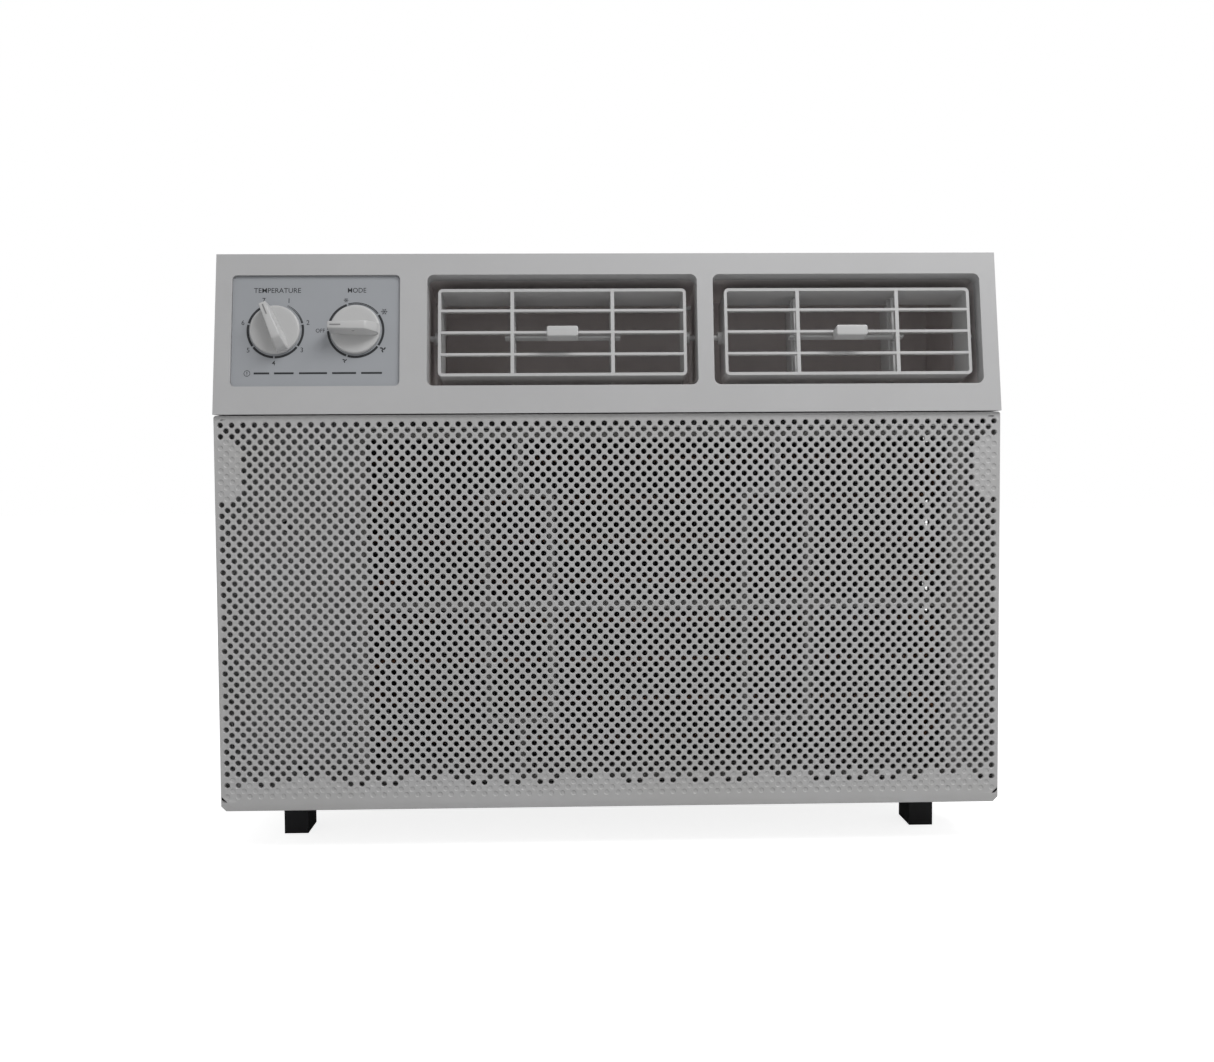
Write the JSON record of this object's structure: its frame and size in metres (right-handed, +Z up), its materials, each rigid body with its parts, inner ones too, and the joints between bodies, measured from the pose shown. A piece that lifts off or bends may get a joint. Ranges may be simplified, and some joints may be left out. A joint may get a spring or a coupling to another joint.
{
  "type": "window air conditioner",
  "caption": "Compact room air conditioner for a window: sloping control fascia, two swinging air louvers, drop-down perforated intake grille, slotted steel cabinet on rubber feet.",
  "frame": {"origin": "centre of the footprint, on the surface the feet stand on", "axes": "+X to the right for somebody facing the front, +Y from the front to the rear, +Z up"},
  "size_m": [0.47, 0.3915, 0.3601],
  "materials": {
    "front_moulding": "fine moulded texture, semi-matte off-white",
    "grille_moulding": "fine moulded texture, semi-matte off-white",
    "control_plate": "smooth printed sheet",
    "knob": "satin",
    "louver": "satin",
    "duct": "matte, expanded foam and moulded board",
    "filter_frame": "matte",
    "filter_mesh": "fine woven net",
    "cabinet_steel": "baked enamel, slight orange peel",
    "zinc_steel": "zinc coated",
    "fins": "bare fin stock",
    "copper": "drawn copper, slightly tarnished",
    "black_steel": "gloss black enamel",
    "compressor_iron": "oiled",
    "rubber": "matt",
    "dark_plastic": "matt",
    "fan_plastic": "satin",
    "bright_metal": "turned",
    "screw": "zinc plated"
  },
  "bodies": {
    "housing": {"air_plenum": "duct", "base_pan": "cabinet_steel", "blower_scroll": "duct", "bulkhead": "zinc_steel", "cabinet": "cabinet_steel", "cabinet_screws": "screw", "capillary_tube": "copper", "compressor_core": "compressor_iron", "compressor_mounts": "rubber", "compressor_plate": "zinc_steel", "compressor_shell": "black_steel", "compressor_studs": "screw", "compressor_terminal_cover": "dark_plastic", "condenser_end_plates": "zinc_steel", "condenser_fins": "fins", "condenser_tubes": "copper", "control_box": "zinc_steel", "control_plate": "control_plate", "cord_gland": "dark_plastic", "discharge_pipe": "copper", "drain_tray": "duct", "evaporator_end_plates": "zinc_steel", "evaporator_fins": "fins", "evaporator_tubes": "copper", "fan_motor": "bright_metal", "fan_shroud": "zinc_steel", "feet": "rubber", "filter_drier": "copper", "foot_screws": "screw", "front_panel": "front_moulding", "front_screws": "screw", "liquid_pipe": "copper", "mode_switch": "dark_plastic", "motor_bracket": "zinc_steel", "outlet_duct": "duct", "rear_guard": "cabinet_steel", "run_capacitor": "bright_metal", "suction_accumulator": "black_steel", "suction_pipe": "copper", "thermostat": "dark_plastic", "thermostat_bulb": "copper"},
    "temperature_control": {"temperature_knob": "knob", "temperature_shaft": "bright_metal"},
    "mode_control": {"mode_knob": "knob", "mode_shaft": "bright_metal"},
    "grille": {"intake_grille": "grille_moulding"},
    "filter": {"filter_frame": "filter_frame", "filter_mesh": "filter_mesh"},
    "rotor": {"motor_shaft": "bright_metal", "blower_wheel": "fan_plastic", "condenser_fan": "fan_plastic"},
    "louver_left": {"louver_grid_left": "louver"},
    "vane_left_a": {"louver_vane_left_a": "louver"},
    "vane_left_b": {"louver_vane_left_b": "louver"},
    "slider_left": {"louver_slider_left": "louver"},
    "louver_right": {"louver_grid_right": "louver"},
    "vane_right_a": {"louver_vane_right_a": "louver"},
    "vane_right_b": {"louver_vane_right_b": "louver"},
    "slider_right": {"louver_slider_right": "louver"}
  },
  "joints": [
    {"name": "temperature_turn", "type": "hinge", "parent": "housing", "child": "temperature_control", "pos_m": [-0.1993, -0.18155, 0.31415], "axis": [0, -0.9854, 0.1702], "range_deg": [0, 315]},
    {"name": "mode_turn", "type": "hinge", "parent": "housing", "child": "mode_control", "pos_m": [-0.1515, -0.18155, 0.31415], "axis": [0, -0.9854, 0.1702], "continuous": true},
    {"name": "grille_swing", "type": "hinge", "parent": "housing", "child": "grille", "pos_m": [0, -0.1723, 0.0325], "axis": [1, 0, 0], "range_deg": [0, 60]},
    {"name": "filter_slide", "type": "slide", "parent": "grille", "child": "filter", "axis": [1, 0, 0], "range_m": [0, 0.36]},
    {"name": "fan_spin", "type": "hinge", "parent": "housing", "child": "rotor", "pos_m": [0.028, 0, 0.152], "axis": [0, 1, 0], "continuous": true},
    {"name": "louver_left_tilt", "type": "hinge", "parent": "housing", "child": "louver_left", "pos_m": [-0.0279, -0.16093, 0.31013], "axis": [1, 0, 0], "range_deg": [-25, 25]},
    {"name": "vane_left_a_turn", "type": "hinge", "parent": "louver_left", "child": "vane_left_a", "pos_m": [-0.0582, -0.15601, 0.30928], "axis": [0, 0.1702, 0.9854], "range_deg": [-25, 25]},
    {"name": "vane_left_b_turn", "type": "hinge", "parent": "louver_left", "child": "vane_left_b", "pos_m": [0.0024, -0.15601, 0.30928], "axis": [0, 0.1702, 0.9854], "range_deg": [-25, 25]},
    {"name": "slider_left_slide", "type": "slide", "parent": "louver_left", "child": "slider_left", "axis": [1, 0, 0], "range_m": [-0.00575, 0.00575]},
    {"name": "louver_right_tilt", "type": "hinge", "parent": "housing", "child": "louver_right", "pos_m": [0.1453, -0.16093, 0.31013], "axis": [1, 0, 0], "range_deg": [-25, 25]},
    {"name": "vane_right_a_turn", "type": "hinge", "parent": "louver_right", "child": "vane_right_a", "pos_m": [0.115, -0.15601, 0.30928], "axis": [0, 0.1702, 0.9854], "range_deg": [-25, 25]},
    {"name": "vane_right_b_turn", "type": "hinge", "parent": "louver_right", "child": "vane_right_b", "pos_m": [0.1756, -0.15601, 0.30928], "axis": [0, 0.1702, 0.9854], "range_deg": [-25, 25]},
    {"name": "slider_right_slide", "type": "slide", "parent": "louver_right", "child": "slider_right", "axis": [1, 0, 0], "range_m": [-0.00575, 0.00575]}
  ],
  "couplings": [
    {"joint": "vane_left_b_turn", "follows": "vane_left_a_turn", "ratio": 1},
    {"joint": "slider_left_slide", "follows": "vane_left_a_turn", "m_per_rad": 0.013},
    {"joint": "vane_right_b_turn", "follows": "vane_right_a_turn", "ratio": 1},
    {"joint": "slider_right_slide", "follows": "vane_right_a_turn", "m_per_rad": 0.013}
  ]
}
